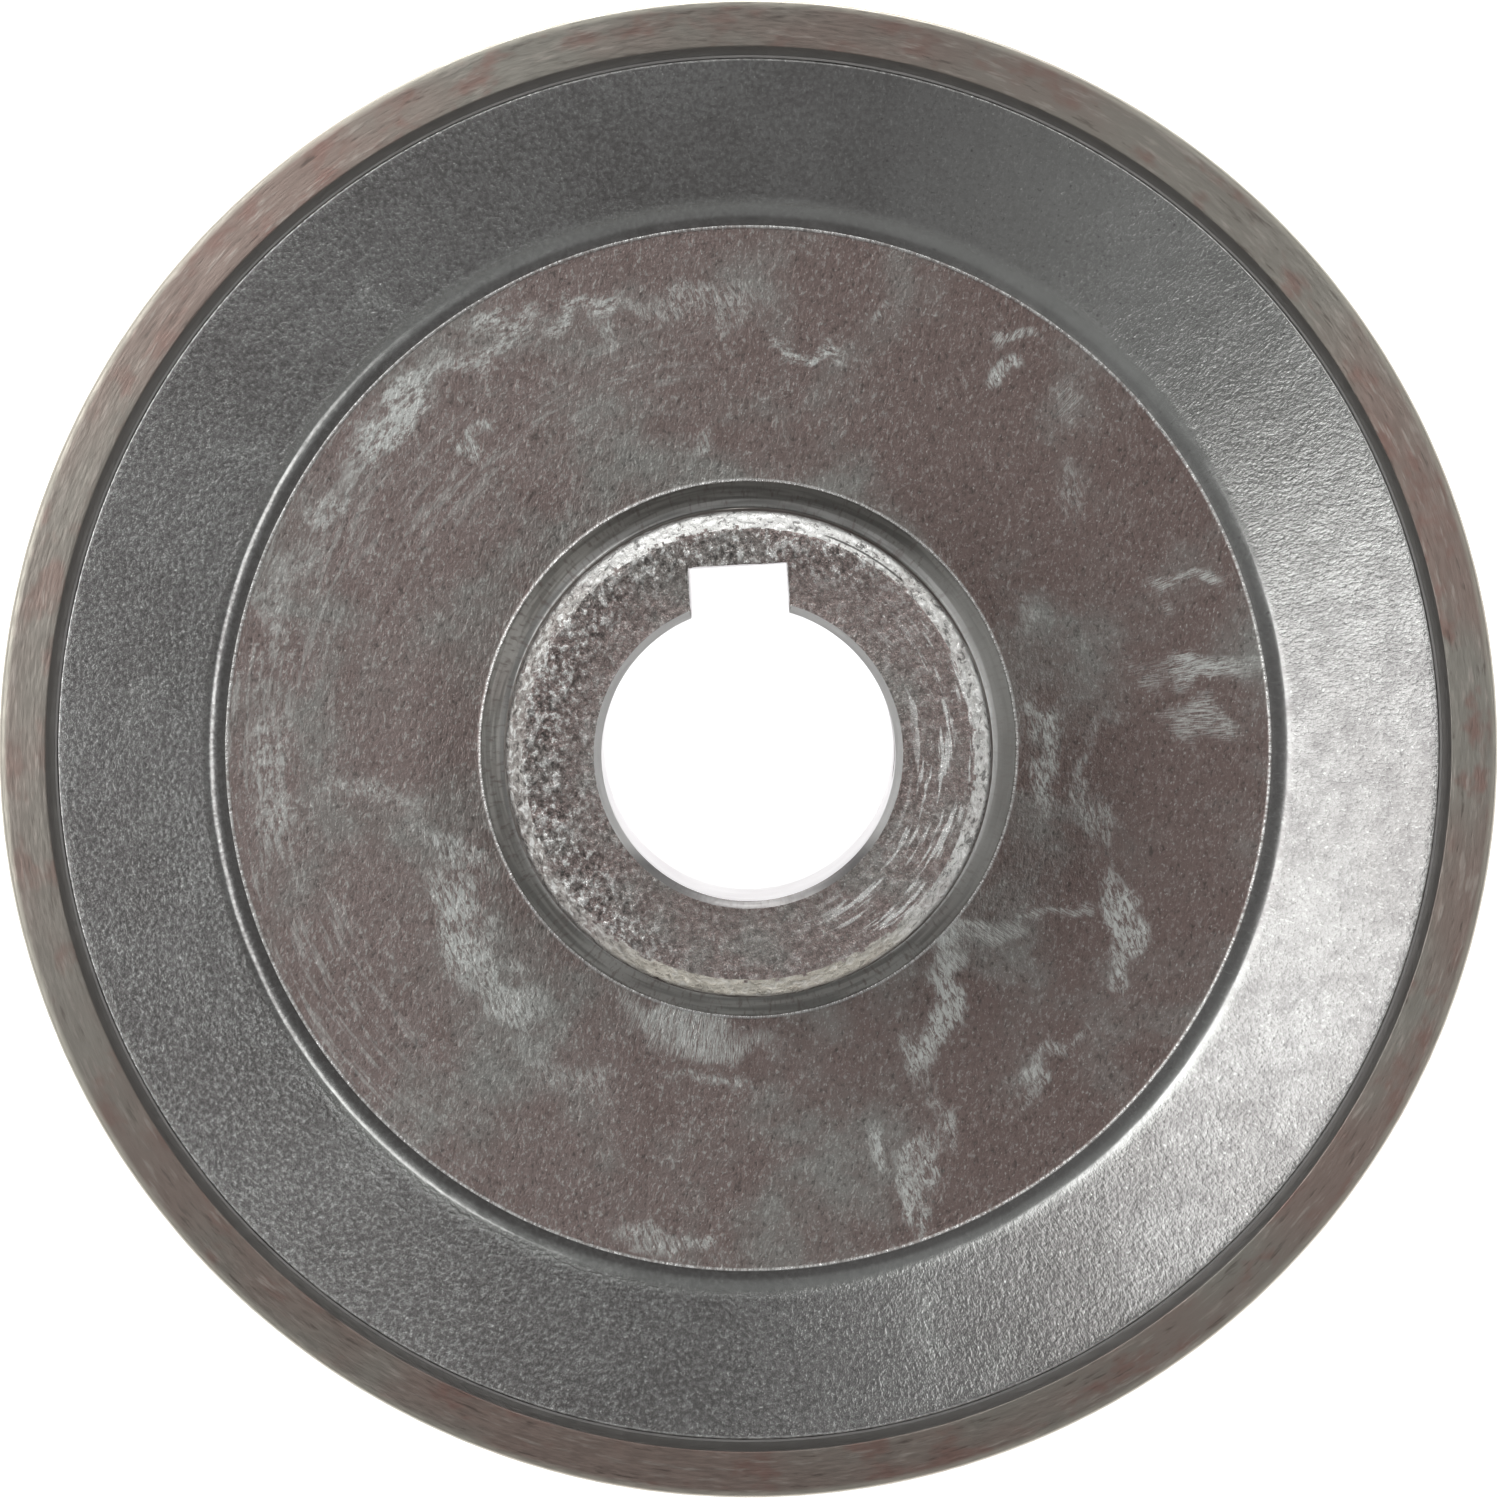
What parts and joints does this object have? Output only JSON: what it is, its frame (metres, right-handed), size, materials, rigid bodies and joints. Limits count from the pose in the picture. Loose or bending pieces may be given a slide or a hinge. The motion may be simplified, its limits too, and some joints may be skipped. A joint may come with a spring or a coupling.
{
  "type": "flywheel",
  "caption": "Round dished flywheel built up from pressed discs, a turned rim and a long keyed hub with grub screws.",
  "frame": {"origin": "on the bore's axis, in the plane of the hub's back face, on which the wheel lies", "axes": "+Z along the bore from the back towards the long nose of the hub, +Y from the axis to the keyway, +X to the shaft set screw"},
  "size_m": [0.124, 0.124, 0.036],
  "materials": {
    "hub_steel": "turned and rough-faced bare steel",
    "plate_steel": "dull bare plate with scuffs",
    "dish_steel": "fine-grained blasted pressing",
    "rim_steel": "turned, fine rings round the axis",
    "screw_steel": "black oxide"
  },
  "bodies": {
    "wheel": {"hub": "hub_steel", "front_web_plate": "plate_steel", "rear_web_plate": "plate_steel", "front_dish": "dish_steel", "rear_dish": "dish_steel", "rim_ring": "rim_steel"},
    "key_screw": {"key_set_screw": "screw_steel"},
    "shaft_screw": {"shaft_set_screw": "screw_steel"}
  },
  "joints": [
    {"name": "key_screw_travel", "type": "slide", "parent": "wheel", "child": "key_screw", "axis": [0, 1, 0], "range_m": [-0.0004, 0.002]},
    {"name": "shaft_screw_travel", "type": "slide", "parent": "wheel", "child": "shaft_screw", "axis": [1, 0, 0], "range_m": [-0.0003, 0.004]}
  ]
}
